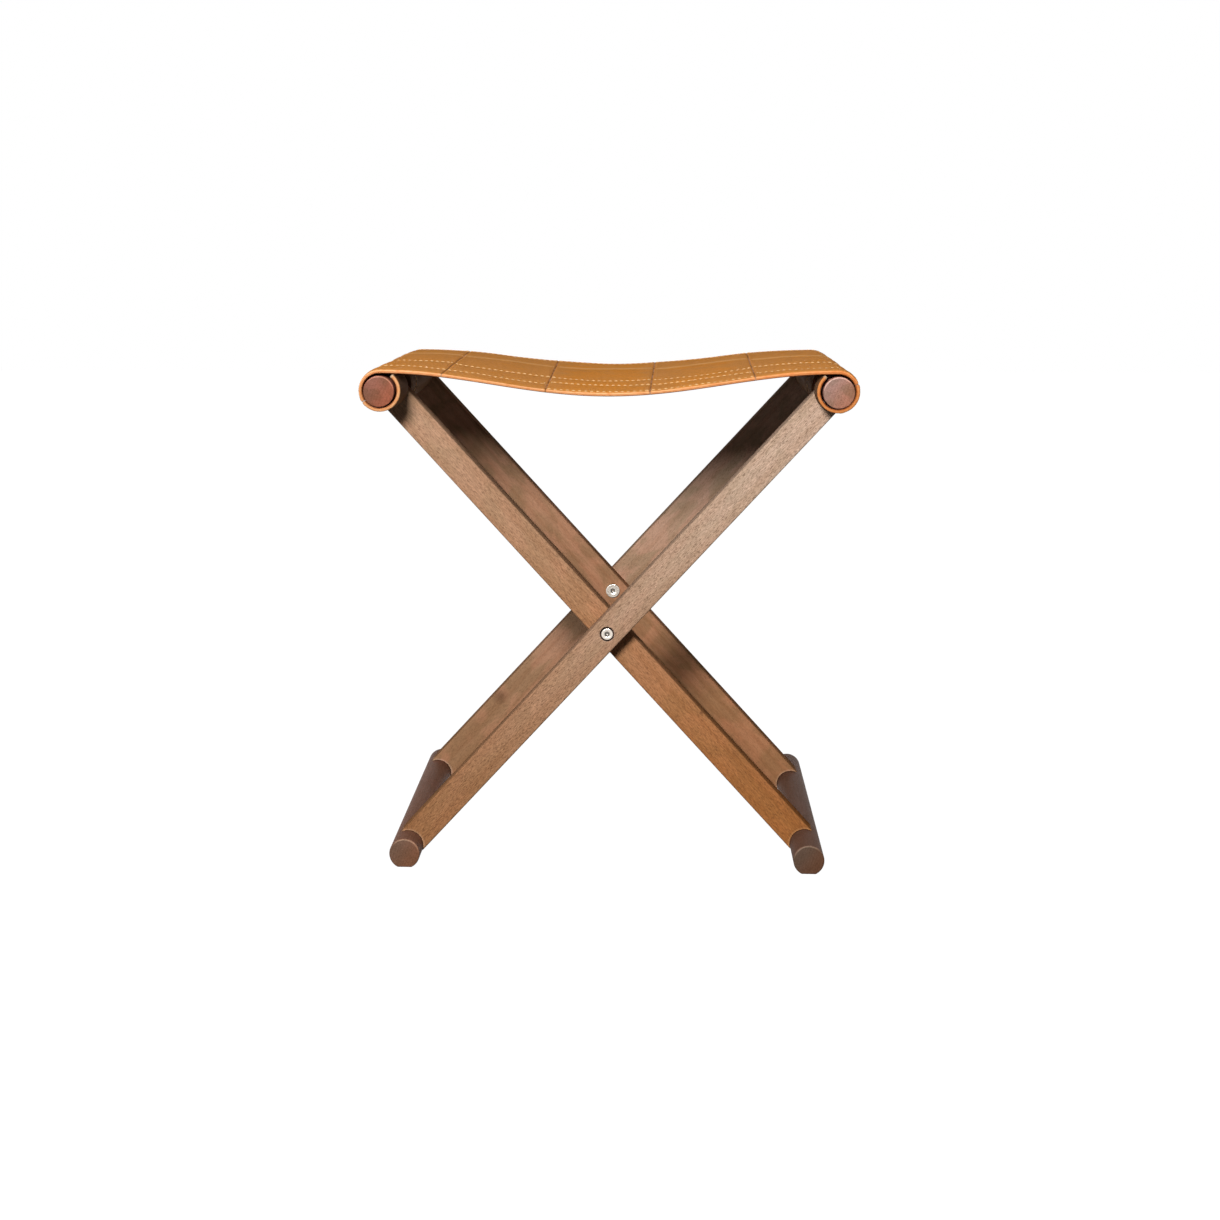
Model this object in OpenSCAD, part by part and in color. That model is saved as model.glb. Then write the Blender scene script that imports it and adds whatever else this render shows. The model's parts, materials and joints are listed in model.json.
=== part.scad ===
// Folding stool with a sewn leather sling: two crossed frames turn on one axis through their legs.
// The outer frame carries the right top rail and the left foot rail, the inner frame the other two.
// X runs from the left top rail to the right one, Y from the front to the back, Z up from the floor.

/* [Frames] */
// Distance between the axes of the two top rails
top_span = 407; // [340:1:460]
// Distance between the axes of the two foot rails
foot_span = 368; // [320:1:420]
// Height of the top rails' axes above the floor
top_h = 436; // [380:1:480]
// Length of every round rail
rail_len = 350; // [330:1:420]
// Diameter of every round rail
rail_d = 28; // [25:0.5:32]
// Depth of the flat planed along the underside of each foot rail
foot_flat = 1.5; // [0.5:0.1:3]
// Bevel at the rail ends
rail_bevel = 1; // [0.3:0.1:2]
// Distance over the outer faces of the outer legs
frame_w = 294; // [270:1:310]

/* [Legs] */
// Width of a leg, seen from the front
leg_w = 26.5; // [24:0.5:28]
// Thickness of a leg, from front to back
leg_t = 24; // [20:0.5:28]
// Rounding along a leg's edges
leg_edge = 1.5; // [0.5:0.1:3]
// Diameter of the wooden pegs between legs and rails
peg_d = 10; // [8:0.5:12]
// Length of the pegs
peg_len = 50; // [40:1:60]
// Depth of a peg below the rail's surface
peg_sink = 16; // [12:0.5:18]

/* [Pivots] */
// Diameter of the pivot bolt's shank
bolt_d = 6; // [5:0.5:6]
// Diameter of the pivot bolt's head
bolt_head_d = 11; // [10:0.5:12]
// Height of the pivot bolt's head
bolt_head_h = 3.6; // [3:0.1:5]
// Diameter of the counterbore that the head lies in
counterbore_d = 13; // [12.5:0.5:15]
// Depth of the counterbore
counterbore_h = 4; // [3.6:0.1:6]
// Width across the flats of the hexagon sockets
socket_w = 4; // [3:0.5:5]
// Depth of the hexagon sockets
socket_h = 2.4; // [1.5:0.1:3]
// Outer diameter of the sleeve nut's barrel, which the inner leg turns on
sleeve_d = 9; // [8:0.5:10]
// Depth that the sleeve nut's barrel runs into the outer leg
sleeve_bite = 10; // [6:0.5:12]
// Diameter of the sleeve nut's cap
cap_d = 14; // [13:0.5:18]
// Thickness of the sleeve nut's cap
cap_h = 2.6; // [2:0.1:4]
// Outer diameter of the washers between the legs
washer_d = 20; // [16:0.5:24]
// Thickness of the washers between the legs
washer_t = 1.5; // [1:0.1:3]

/* [Seat] */
// Thickness of the leather
leather_t = 3.2; // [2.5:0.1:4]
// Width of the leather from front to back, a little more than the rails' length
leather_w = 353; // [332:1:424]
// Sag of the seat in the middle
sag = 20; // [8:1:40]
// Slack of the leather loop round its rail, on the radius
loop_slack = 1.5; // [1.3:0.1:3]
// Distance from seam to seam along the leather
strip_len = 92.5; // [80:0.5:100]
// Distance from the top of the left loop to the first seam
first_seam = 55.5; // [50:0.5:60]
// Clearance between the leather's turned-up ends and the seat above them
tail_gap = 0.8; // [0.5:0.1:8]
// Clearance between the leather's tabs and the legs
tab_gap = 1.5; // [1:0.1:4]
// Length of the screws that hold the leather
screw_len = 14; // [12:0.5:18]
// Shank diameter of those screws
screw_d = 3.5; // [3:0.1:4]
// Head diameter of those screws
screw_head_d = 8; // [7:0.5:10]
// Head height of those screws
screw_head_h = 1.6; // [1.2:0.1:2.5]
// Number of screws through the middle tab of each loop
middle_screws = 4; // [2:1:6]

/* [Hidden] */
$fn = 64;

// fits: what is glued or pressed, what turns, and how far past a face a cut runs
glue_gap = 0.02;
run_gap = 0.06;
face_gap = 0.1;
end_gap = 0.2;
cut = 1;

// the four rail axes in the X, Z plane, and the pivot where the legs' axes cross
rail_r = rail_d / 2;
foot_h = rail_r - foot_flat;
top_x = top_span / 2;
foot_x = foot_span / 2;
rise = top_h - foot_h;
pivot_z = foot_h + rise * foot_x / (foot_x + top_x);
lean = atan2(foot_x + top_x, rise);
leg_len = norm([foot_x + top_x, rise]);

// where the legs stand along Y: the middle of each leg's thickness
outer_y = frame_w / 2 - leg_t / 2;
leg_step = leg_t + washer_t + face_gap;
inner_y = outer_y - leg_step;

// leather loops: their inner radius, their centre against the rail's axis, and the span between them
loop_r = rail_r + loop_slack;
loop_out = 0.53 * loop_slack; // pulled inwards by the seat
loop_up = 0.6 * loop_slack; // held up by its own stiffness, so the leather is tight at the lower outer side
loop_x = top_x - loop_out;
loop_h = top_h + loop_up;
span_steps = 10;
leg_angle = 270 + lean;
screw_angle = 255;
tail_end = asin((loop_r - tail_gap) / (loop_r + leather_t)); // above the level, on the inner side
left_seam_angle = 90 + (strip_len - first_seam) / (loop_r + leather_t / 2) * 180 / PI;
last_seam = 2 * loop_x - first_seam - 3 * strip_len;
right_seam_angle = 90 + (strip_len - last_seam) / (loop_r + leather_t / 2) * 180 / PI;
seams = [for (i = [0:3]) -loop_x + first_seam + i * strip_len];

wood = "#8a5f45";
dark_wood = "#5c3d31";
steel = "#b8b8b8";
brass = "#b08a4a";
leather = "#b9742f";

// a bar's section with rounded edges, kept as true arcs
module rounded_section(w, t, r) {
    square([w - 2 * r, t], center = true);
    square([w, t - 2 * r], center = true);
    for (sx = [-1, 1])
        for (sy = [-1, 1])
            translate([sx * (w / 2 - r), sy * (t / 2 - r)])
                circle(r = r, $fn = 32);
}

// moves what stands on the pivot along Z onto the leg that leans to the right
module along_leg()
    translate([-foot_x, 0, foot_h])
        rotate([0, lean, 0])
            children();

// a cylinder along Y from y0 to y1
module rod(d, y0, y1)
    translate([0, y0, 0])
        rotate([-90, 0, 0])
            cylinder(d = d, h = y1 - y0);

// one leg of the frame that leans to the right, its middle at y: coped over both rails and bored for the pegs
module leg(y) {
    cope_d = rail_d + 2 * glue_gap;
    difference() {
        translate([0, y, 0])
            along_leg()
                linear_extrude(leg_len)
                    rounded_section(leg_w, leg_t, leg_edge);
        translate([-foot_x, 0, foot_h])
            rod(cope_d, y - leg_t, y + leg_t);
        translate([top_x, 0, top_h])
            rod(cope_d, y - leg_t, y + leg_t);
        peg_holes(y);
    }
}

// the pegs of one leg, or their holes where they are given the clearances round and past them
module leg_pegs(y, round_gap = 0, past_gap = 0)
    translate([0, y, 0])
        along_leg()
            for (z = [rail_r - peg_sink, leg_len - rail_r + peg_sink - peg_len])
                translate([0, 0, z - past_gap])
                    cylinder(d = peg_d + 2 * round_gap, h = peg_len + 2 * past_gap);

module peg_holes(y)
    leg_pegs(y, glue_gap, end_gap);

// a round rail from end to end, with bevelled ends
module rail()
    translate([0, -rail_len / 2, 0])
        rotate([-90, 0, 0])
            rotate_extrude()
                polygon([
                    [0, 0], [rail_r - rail_bevel, 0], [rail_r, rail_bevel],
                    [rail_r, rail_len - rail_bevel], [rail_r - rail_bevel, rail_len], [0, rail_len]]);

module top_rail()
    difference() {
        translate([top_x, 0, top_h])
            rail();
        children();
    }

module foot_rail()
    difference() {
        translate([-foot_x, 0, foot_h])
            rail();
        translate([-foot_x - rail_d, -rail_len, -rail_d])
            cube([2 * rail_d, 2 * rail_len, rail_d]);
        children();
    }

// the pivot bolt, its head in the counterbore of the front outer leg
head_y = -frame_w / 2 + counterbore_h;
nut_y = -inner_y + leg_t / 2 + face_gap;
nut_wall = 1.5;
bolt_end = nut_y - nut_wall;
sleeve_y = -outer_y + leg_t / 2 - sleeve_bite;

module hexagon(y0, y1)
    translate([0, y0, 0])
        rotate([-90, 0, 0])
            rotate([0, 0, 30])
                cylinder(d = socket_w / cos(30), h = y1 - y0, $fn = 6);

module pivot_bolt()
    translate([0, 0, pivot_z])
        difference() {
            union() {
                rod(bolt_d, head_y - bolt_head_h, bolt_end);
                rod(bolt_head_d, head_y - bolt_head_h, head_y);
            }
            hexagon(head_y - bolt_head_h - cut, head_y - bolt_head_h + socket_h);
        }

// the sleeve nut: a barrel through the inner leg into the outer one, and a flat cap on the inner leg's inner face
module pivot_nut()
    translate([0, 0, pivot_z])
        difference() {
            union() {
                rod(sleeve_d, sleeve_y, nut_y + cap_h);
                rod(cap_d, nut_y, nut_y + cap_h);
            }
            rod(bolt_d + 2 * glue_gap, sleeve_y - cut, bolt_end + end_gap);
            hexagon(nut_y + cap_h - socket_h, nut_y + cap_h + cut);
        }

module pivot_washer()
    translate([0, 0, pivot_z])
        difference() {
            rod(washer_d, -outer_y + leg_t / 2, -outer_y + leg_t / 2 + washer_t);
            rod(sleeve_d + 2 * run_gap, -outer_y, -inner_y);
        }

// what the pivot takes out of the front outer leg, and out of the front inner leg
module outer_leg_bores()
    translate([0, 0, pivot_z]) {
        rod(counterbore_d, -frame_w / 2 - cut, head_y);
        rod(bolt_d + 2 * run_gap, -frame_w / 2, -outer_y + leg_t);
        rod(sleeve_d + 2 * glue_gap, sleeve_y - end_gap, -outer_y + leg_t);
    }

module inner_leg_bore()
    translate([0, 0, pivot_z])
        rod(sleeve_d + 2 * run_gap, -inner_y - leg_t, -inner_y + leg_t);

module front_outer_leg()
    difference() {
        leg(-outer_y);
        outer_leg_bores();
    }

module front_inner_leg()
    mirror([1, 0, 0])
        difference() {
            leg(-inner_y);
            inner_leg_bore();
        }

// a wedge in the X, Z plane from angle a to angle b round the right loop's centre, counted from the inner side
wedge_r = 2 * rail_d;
wedge_step = 30;

module wedge(a, b) {
    steps = ceil((b - a) / wedge_step);
    polygon(concat(
        [[0, 0]],
        [for (i = [0:steps]) let (t = a + (b - a) * i / steps) wedge_r * [-cos(t), sin(t)]]));
}

// stands a flat outline, drawn in X and Z, up along Y over the length w
module upright(w)
    translate([0, w / 2, 0])
        rotate([90, 0, 0])
            linear_extrude(w)
                children();

// the leather ring round the right rail from angle a to angle b
module loop_ring(a, b)
    translate([loop_x, 0, loop_h])
        difference() {
            rod(2 * (loop_r + leather_t), -leather_w / 2, leather_w / 2);
            rod(2 * loop_r, -leather_w, leather_w);
            upright(2 * leather_w)
                wedge(b, a + 360);
        }

// the slot that lets a leg through: as wide as the leg, and on past it to the end of the leather
module leg_slot(leg_y) {
    slot_w = leg_w + 2 * tab_gap;
    translate([0, leg_y, 0])
        upright(leg_t + 2 * tab_gap) {
            translate([top_x, top_h])
                rotate(-lean)
                    translate([-slot_w / 2, -wedge_r])
                        square([slot_w, wedge_r]);
            translate([loop_x, loop_h])
                wedge(leg_angle, tail_end + 360 + wedge_step);
        }
}

// the tail of the right loop: under its rail and up inside, slotted for both legs, which stand at leg_y
module tail(a, leg_y)
    difference() {
        loop_ring(a, tail_end + 360);
        leg_slot(leg_y);
        leg_slot(-leg_y);
        screw_holes(leg_y);
    }

// where the right loop's screws stand along Y: one in each end tab, the others spread over the middle one
function screw_places(leg_y) = let (
        inside = leg_y - leg_t / 2 - tab_gap,
        outside = leg_y + leg_t / 2 + tab_gap,
        step = 2 * inside / middle_screws)
    concat(
        [-(outside + leather_w / 2) / 2, (outside + leather_w / 2) / 2],
        [for (i = [0:middle_screws - 1]) -inside + step * (i + 0.5)]);

// stands a piece on the right loop's outside, at each screw's place
module on_loop(leg_y)
    for (y = screw_places(leg_y))
        translate([loop_x, y, loop_h])
            rotate([0, screw_angle - 90, 0])
                translate([0, 0, loop_r + leather_t])
                    children();

module screws(leg_y)
    on_loop(leg_y) {
        cylinder(d = screw_head_d, h = screw_head_h, $fn = 32);
        translate([0, 0, -screw_len])
            cylinder(d = screw_d, h = screw_len + screw_head_h / 2, $fn = 32);
    }

module screw_holes(leg_y)
    on_loop(leg_y)
        translate([0, 0, -screw_len - end_gap])
            cylinder(d = screw_d + 2 * glue_gap, h = screw_len + end_gap + cut, $fn = 32);

// height of the leather's underside over the span, and a stretch of it from x0 to x1
function under(x) = loop_h + loop_r - sag * (1 + cos(180 * x / loop_x)) / 2;

module stretch(x0, x1) {
    step = (x1 - x0) / span_steps;
    xs = [for (i = [0:span_steps]) x0 + i * step];
    upright(leather_w)
        polygon(concat(
            [for (x = xs) [x, under(x)]],
            [for (i = [span_steps:-1:0]) [xs[i], under(xs[i]) + leather_t]]));
}

// the strip that goes over the right rail: from the last seam in the span to the seam on the loop
module over_rail(seam_x, seam_angle)
    union() {
        stretch(seam_x, loop_x);
        loop_ring(90, seam_angle);
    }

module outer_leg_front() color(wood) front_outer_leg();
module outer_leg_rear() color(wood) mirror([0, 1, 0]) front_outer_leg();
module inner_leg_front() color(wood) front_inner_leg();
module inner_leg_rear() color(wood) mirror([0, 1, 0]) front_inner_leg();

module outer_top_rail()
    color(dark_wood)
        top_rail() {
            peg_holes(outer_y);
            peg_holes(-outer_y);
            screw_holes(outer_y);
        }

module inner_top_rail()
    color(dark_wood)
        mirror([1, 0, 0])
            top_rail() {
                peg_holes(inner_y);
                peg_holes(-inner_y);
                screw_holes(inner_y);
            }

module outer_foot_rail()
    color(dark_wood)
        foot_rail() {
            peg_holes(outer_y);
            peg_holes(-outer_y);
        }

module inner_foot_rail()
    color(dark_wood)
        mirror([1, 0, 0])
            foot_rail() {
                peg_holes(inner_y);
                peg_holes(-inner_y);
            }

module outer_pegs()
    color(wood)
        for (sy = [-1, 1])
            leg_pegs(sy * outer_y);

module inner_pegs()
    color(wood)
        mirror([1, 0, 0])
            for (sy = [-1, 1])
                leg_pegs(sy * inner_y);

module pivot_bolt_front() color(steel) pivot_bolt();
module pivot_bolt_rear() color(steel) mirror([0, 1, 0]) pivot_bolt();
module pivot_nut_front() color(steel) pivot_nut();
module pivot_nut_rear() color(steel) mirror([0, 1, 0]) pivot_nut();
module pivot_washer_front() color(steel) pivot_washer();
module pivot_washer_rear() color(steel) mirror([0, 1, 0]) pivot_washer();

module seat_tail_left() color(leather) mirror([1, 0, 0]) tail(left_seam_angle, inner_y);
module seat_tail_right() color(leather) tail(right_seam_angle, outer_y);
module seat_strip_1() color(leather) mirror([1, 0, 0]) over_rail(-seams[0], left_seam_angle);
module seat_strip_2() color(leather) stretch(seams[0], seams[1]);
module seat_strip_3() color(leather) stretch(seams[1], seams[2]);
module seat_strip_4() color(leather) stretch(seams[2], seams[3]);
module seat_strip_5() color(leather) over_rail(seams[3], right_seam_angle);
module seat_screws_left() color(brass) mirror([1, 0, 0]) screws(inner_y);
module seat_screws_right() color(brass) screws(outer_y);

outer_leg_front();
outer_leg_rear();
outer_top_rail();
outer_foot_rail();
outer_pegs();
inner_leg_front();
inner_leg_rear();
inner_top_rail();
inner_foot_rail();
inner_pegs();
pivot_bolt_front();
pivot_bolt_rear();
pivot_nut_front();
pivot_nut_rear();
pivot_washer_front();
pivot_washer_rear();
seat_tail_left();
seat_strip_1();
seat_strip_2();
seat_strip_3();
seat_strip_4();
seat_strip_5();
seat_tail_right();
seat_screws_left();
seat_screws_right();
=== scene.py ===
import json
from math import asin, ceil, copysign, cos, exp, pi, radians, sin, sqrt

import bmesh
import bpy
from mathutils import Matrix, Vector, noise


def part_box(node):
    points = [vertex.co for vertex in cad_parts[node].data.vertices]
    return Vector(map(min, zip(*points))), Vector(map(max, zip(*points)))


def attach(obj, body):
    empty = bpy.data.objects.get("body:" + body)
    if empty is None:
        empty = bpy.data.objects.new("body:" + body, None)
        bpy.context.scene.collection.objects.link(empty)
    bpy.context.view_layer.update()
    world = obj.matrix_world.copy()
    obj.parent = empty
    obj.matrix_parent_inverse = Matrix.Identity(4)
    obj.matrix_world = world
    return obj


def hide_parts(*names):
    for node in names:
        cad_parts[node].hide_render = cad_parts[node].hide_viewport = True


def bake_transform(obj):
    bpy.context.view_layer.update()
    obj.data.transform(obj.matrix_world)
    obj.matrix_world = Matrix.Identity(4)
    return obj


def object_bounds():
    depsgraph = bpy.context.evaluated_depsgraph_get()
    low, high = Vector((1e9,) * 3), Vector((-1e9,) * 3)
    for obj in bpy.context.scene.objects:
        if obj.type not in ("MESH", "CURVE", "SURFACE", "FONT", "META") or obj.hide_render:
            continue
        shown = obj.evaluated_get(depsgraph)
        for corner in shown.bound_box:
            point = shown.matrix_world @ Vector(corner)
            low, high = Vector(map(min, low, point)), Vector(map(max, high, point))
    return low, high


# Folding stool: leather sling on two crossed wooden frames. X left to right, Y front to back, Z up, metres.
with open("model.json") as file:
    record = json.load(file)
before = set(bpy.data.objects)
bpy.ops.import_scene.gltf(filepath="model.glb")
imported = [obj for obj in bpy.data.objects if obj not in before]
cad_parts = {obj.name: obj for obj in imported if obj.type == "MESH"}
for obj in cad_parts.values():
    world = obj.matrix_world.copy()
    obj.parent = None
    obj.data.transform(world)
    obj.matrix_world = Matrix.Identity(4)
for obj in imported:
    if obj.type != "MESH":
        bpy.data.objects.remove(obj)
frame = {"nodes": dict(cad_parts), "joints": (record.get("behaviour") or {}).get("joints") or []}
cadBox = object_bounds()
scene = bpy.context.scene


def rgb(red, green, blue):
    def linear(value):
        share = value / 255
        return share / 12.92 if share <= 0.04045 else ((share + 0.055) / 1.055) ** 2.4
    return (linear(red), linear(green), linear(blue), 1.0)


def smooth(value):
    share = min(1.0, max(0.0, value))
    return share * share * (3 - 2 * share)


def bell(distance, width):
    return exp(-(distance / width) ** 2)


def quarterTurn(steps):
    return [pi / 2 * k / steps for k in range(steps + 1)]


def addObject(name, data):
    made = bpy.data.objects.new(name, data)
    scene.collection.objects.link(made)
    return made


# Node trees: a wire is one output socket, and sums on wires add Math nodes
def operators(name):
    # an operator on wires and its reflected form
    def straight(self, other):
        return self.tree.maths(name, self, other)

    def reflected(self, other):
        return self.tree.maths(name, other, self)
    return straight, reflected


class Wire:
    def __init__(self, tree, socket):
        self.tree = tree
        self.socket = socket

    __add__, __radd__ = operators("ADD")
    __sub__, __rsub__ = operators("SUBTRACT")
    __mul__, __rmul__ = operators("MULTIPLY")
    __truediv__, __rtruediv__ = operators("DIVIDE")
    __pow__, __rpow__ = operators("POWER")


class NodeTree:
    def __init__(self, tree):
        self.tree = tree

    def put(self, socket, value):
        if isinstance(value, Wire):
            self.tree.links.new(value.socket, socket)
        else:
            socket.default_value = value

    def node(self, kind, settings=None, inputs=None, output=0):
        made = self.tree.nodes.new(kind)
        for key, value in (settings or {}).items():
            setattr(made, key, value)
        for key, value in (inputs or {}).items():
            self.put(made.inputs[key], value)
        return Wire(self, made.outputs[output])

    def maths(self, operation, *values):
        return self.node("ShaderNodeMath", {"operation": operation}, dict(enumerate(values)))

    def mix(self, factor, first, second, blend="MIX"):
        settings = {"data_type": "RGBA", "blend_type": blend}
        return self.node("ShaderNodeMix", settings, {0: factor, 6: first, 7: second}, 2)

    def layered(self, body, layers, blend="MIX"):
        for factor, colour in layers:
            body = self.mix(factor, body, colour, blend)
        return body

    def vector(self, operation, first, second, output=0):
        return self.node("ShaderNodeVectorMath", {"operation": operation}, {0: first, 1: second}, output)

    def part(self, vector, axis):
        return self.node("ShaderNodeSeparateXYZ", None, {0: vector}, axis)

    def point(self, x=0.0, y=0.0, z=0.0):
        return self.node("ShaderNodeCombineXYZ", None, {0: x, 1: y, 2: z})

    def scaled(self, first, factor):
        return self.node("ShaderNodeVectorMath", {"operation": "SCALE"}, {0: first, 3: factor})

    def noise(self, place, scale, detail=2.0, distortion=0.0):
        inputs = {"Vector": place, "Scale": scale, "Detail": detail, "Distortion": distortion}
        return self.node("ShaderNodeTexNoise", None, inputs)

    def between(self, value, low, high):
        inputs = {"Value": value, "From Min": low, "From Max": high}
        return self.node("ShaderNodeMapRange", {"interpolation_type": "SMOOTHSTEP"}, inputs)

    def bump(self, height, distance, normal=None):
        inputs = {"Height": height, "Distance": distance, "Strength": 1.0}
        if normal:
            inputs["Normal"] = normal
        return self.node("ShaderNodeBump", None, inputs)


class Finish(NodeTree):
    def __init__(self, name, metallic=0.0, gloss=0.1):
        self.material = bpy.data.materials.new(name)
        self.material.use_nodes = True
        super().__init__(self.material.node_tree)
        self.shader = self.tree.nodes["Principled BSDF"]
        self.set("Metallic", metallic)
        self.set("Specular IOR Level", gloss)

    def set(self, name, value):
        self.put(self.shader.inputs[name], value)

    def place(self):
        return self.node("ShaderNodeTexCoord", None, None, "Object")

    def attribute(self, name):
        return self.node("ShaderNodeAttribute", {"attribute_name": name}, None, "Fac")


# Camera and studio
photoView = {
    "place": (0.04496, -2.06902, 0.5739),
    "yaw": -0.065282,  # turned to the left of straight ahead
    "pitch": 0.133509,  # looking down
    "roll": -0.001543,
    "focalPixels": 2144.27,
    "axisPixel": (518.4, 523.06),  # where the lens axis meets the picture
    "pictureSize": 1220,
}


def makeCamera(view):
    data = bpy.data.cameras.new("photoCamera")
    size, half = view["pictureSize"], view["pictureSize"] / 2
    data.sensor_width = 36
    data.lens = view["focalPixels"] / size * data.sensor_width
    data.shift_x = (half - view["axisPixel"][0]) / size
    data.shift_y = (view["axisPixel"][1] - half) / size
    data.clip_start = 0.1
    scene.camera = addObject("photoCamera", data)
    turned = Matrix.Rotation(-view["yaw"], 4, "Z") @ Matrix.Rotation(pi / 2 - view["pitch"], 4, "X")
    turned @= Matrix.Rotation(view["roll"], 4, "Z")
    scene.camera.matrix_world = Matrix.Translation(view["place"]) @ turned


lamps = {
    "key": {"from": (-0.366, -2.451, 1.345), "size": 0.58, "energy": 73, "color": (1.0, 0.985, 0.965)},
    "overhead": {"from": (0.05, -0.3, 2.2), "size": 1.1, "energy": 5.0, "color": (1.0, 0.99, 0.98)},
    "backLeft": {"from": (-2.3, 2.2, 0.46), "size": 0.9, "energy": 11, "color": (1.0, 0.99, 0.98)},
    "backRight": {"from": (2.3, 2.2, 0.46), "size": 0.9, "energy": 9, "color": (1.0, 0.99, 0.98)},
}
studio = {
    "aim": (0, 0, 0.24),
    "ambient": 0.02,  # the surroundings' light on the stool
    "floorGrey": 0.11,  # as the stool sees it
    "floorLook": 0.8,  # as the camera sees it
    "floorGlow": 0.93,  # how much of that is plain white
    "floorWidth": 14.0,
    "glow": 1.09,  # how strong that white is
}


def makeLamps():
    aim = Vector(studio["aim"])
    for name, lamp in lamps.items():
        data = bpy.data.lights.new(name, "AREA")
        data.shape = "DISK"
        data.size, data.energy, data.color = lamp["size"], lamp["energy"], lamp["color"]
        made = addObject(name, data)
        made.location = lamp["from"]
        made.rotation_euler = (Vector(lamp["from"]) - aim).to_track_quat("Z", "Y").to_euler()
        made.visible_camera = False


def seenDirectly(tree):
    # 1 for what is seen, directly or in a mirror or glass, and 0 for what lights the stool
    rays = [tree.node("ShaderNodeLightPath", None, None, f"Is {kind} Ray")
            for kind in ("Camera", "Glossy", "Transmission")]
    return tree.maths("MINIMUM", rays[0] + rays[1] + rays[2], 1.0)


def makeSurroundings():
    world = bpy.data.worlds.new("surroundings")
    world.use_nodes = True
    scene.world = world
    backdrop = world.node_tree.nodes["Background"]
    backdrop.inputs["Color"].default_value = (1, 1, 1, 1)
    tree, ambient = NodeTree(world.node_tree), studio["ambient"]
    tree.put(backdrop.inputs["Strength"], seenDirectly(tree) * (1 - ambient) + ambient)

    half = studio["floorWidth"] / 2
    mesh = bpy.data.meshes.new("floor")
    corners = [(-half, -half, 0), (half, -half, 0), (half, half, 0), (-half, half, 0)]
    mesh.from_pydata(corners, [], [(0, 1, 2, 3)])
    skin = Finish("floorPaint")
    seen = seenDirectly(skin)
    grey, look = studio["floorGrey"], studio["floorLook"]
    skin.set("Base Color", skin.mix(seen, (grey, grey, grey, 1), (look, look, look, 1)))
    skin.set("Roughness", 0.9)
    glow = skin.node("ShaderNodeEmission", None, {"Color": (1, 1, 1, 1), "Strength": studio["glow"]})
    lit = Wire(skin, skin.shader.outputs[0])
    shown = skin.node("ShaderNodeMixShader", None, {0: seen * studio["floorGlow"], 1: lit, 2: glow})
    skin.put(skin.tree.nodes["Material Output"].inputs["Surface"], shown)
    mesh.materials.append(skin.material)
    floor = addObject("floor", mesh)


scene.view_settings.view_transform = "Standard"
makeCamera(photoView)
makeLamps()
makeSurroundings()
print("camera, lamps and floor are in place")


# What the frame gives: rails, legs and the leather's loops
def railOf(node):
    low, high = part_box(node)
    radius = (high.x - low.x) / 2
    point = Vector(((low.x + high.x) / 2, 0, high.z - radius))
    return {"point": point, "radius": radius, "low": low, "high": high}


frames = ("outer", "inner")
railNodes = [f"{side}_{place}_rail" for side in frames for place in ("top", "foot")]
rails = {node: railOf(node) for node in railNodes}
pivotPoint = Vector(frame["joints"][0]["pos_m"])


def frameLine(side):
    # a frame's foot rail and top rail in the middle plane, and its legs' direction
    foot, top = (rails[f"{side}_{place}_rail"]["point"] for place in ("foot", "top"))
    return foot, top, (top - foot).normalized()


# Wood: growth rings round a heart beside the piece, with fibres and pores drawn out along it
woods = {
    "outer_leg_front": {"high": rgb(204, 180, 162), "low": rgb(166, 121, 85), "grain": 1.6, "blotch": 0.5},
    "outer_leg_rear": {"high": rgb(200, 171, 151), "low": rgb(180, 136, 104), "grain": 0.6, "blotch": 1.5,
                       "spot": (-0.1176, 0.123, 0.0957), "spotRadius": 0.011},
    "inner_leg_front": {"high": rgb(188, 154, 128), "low": rgb(174, 116, 68), "grain": 1.3, "blotch": 0.7,
                        "spot": (0.0868, -0.1214, 0.1361), "spotRadius": 0.0028},
    "inner_leg_rear": {"high": rgb(180, 142, 116), "low": rgb(180, 130, 94), "grain": 0.6, "blotch": 1.5},
    "outer_top_rail": {"high": rgb(170, 126, 113), "low": rgb(172, 130, 116), "grain": 1.0, "blotch": 1.8},
    "inner_top_rail": {"high": rgb(150, 94, 77), "low": rgb(152, 98, 80), "grain": 1.0, "blotch": 1.8},
    "outer_foot_rail": {"high": rgb(126, 90, 74), "low": rgb(126, 90, 74), "grain": 1.0, "blotch": 0.6},
    "inner_foot_rail": {"high": rgb(104, 76, 63), "low": rgb(104, 76, 63), "grain": 1.0, "blotch": 0.6},
}
woodLook = {
    "pore": rgb(92, 60, 42),
    "rim": (1.3, 1.5, 1.85, 1),  # how much paler the rims are: partly wear, partly a painted highlight
    "railRimHighlight": (2.1, 2.4, 2.5, 1),  # a painted highlight on the upper rim of a rail's end
    "endSheenCool": (0.92, 1.15, 1.24, 1),  # painted sheen on a rail's end: paler and cooler at its upper left
    "endSheenWarm": (1.08, 1.02, 0.88, 1),  # and warmer at its lower right
    "groove": (0.2, 0.16, 0.14, 1),  # how dark the joints' inner edges are
    "ringWidth": 0.0042, "railRings": 0.0026, "roughness": 0.6, "legGloss": 0.0, "railGloss": 0.06,
}
stoolHeight = cadBox[1].z


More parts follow.
